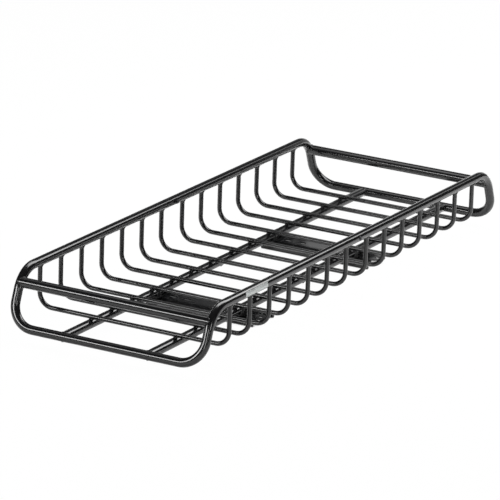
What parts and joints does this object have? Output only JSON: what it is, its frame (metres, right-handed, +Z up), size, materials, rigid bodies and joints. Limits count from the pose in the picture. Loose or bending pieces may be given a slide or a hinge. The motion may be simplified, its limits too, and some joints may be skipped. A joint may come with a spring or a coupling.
{
  "type": "roof basket",
  "caption": "Long narrow tubular steel tray for a car roof: two bolted halves with leaning end loops, U-shaped slats, floor bars and folded mounting plates.",
  "frame": {"origin": "on the ground plane under the centre of the basket, at the rolled lower edges of the mounting plates", "axes": "+X along the basket towards its rear end, +Y across it towards the side without the label, +Z up"},
  "size_m": [1.6578, 0.6156, 0.1901],
  "materials": {
    "black_coat": "gloss black powder coat",
    "black_moulded": "moulded black",
    "zinc": "dull dark zinc",
    "label_foil": "satin silver foil"
  },
  "bodies": {
    "root": {"front_frame_tube": "black_coat", "rear_frame_tube": "black_coat", "front_cross_tube": "black_coat", "rear_cross_tube": "black_coat", "front_bar_left": "black_coat", "front_bar_right": "black_coat", "rear_bar_left": "black_coat", "rear_bar_right": "black_coat", "slat_01": "black_coat", "slat_02": "black_coat", "slat_03": "black_coat", "slat_04": "black_coat", "slat_05": "black_coat", "slat_06": "black_coat", "slat_07": "black_coat", "slat_08": "black_coat", "slat_09": "black_coat", "slat_10": "black_coat", "slat_11": "black_coat", "slat_12": "black_coat", "slat_13": "black_coat", "slat_14": "black_coat", "front_mount_plate": "black_coat", "rear_mount_plate": "black_coat", "front_cradles": "black_moulded", "rear_cradles": "black_moulded", "front_cradle_bolts": "zinc", "rear_cradle_bolts": "zinc", "rail_joint_bolts": "zinc", "bar_joint_bolts": "zinc", "blank_label": "label_foil"}
  },
  "joints": []
}
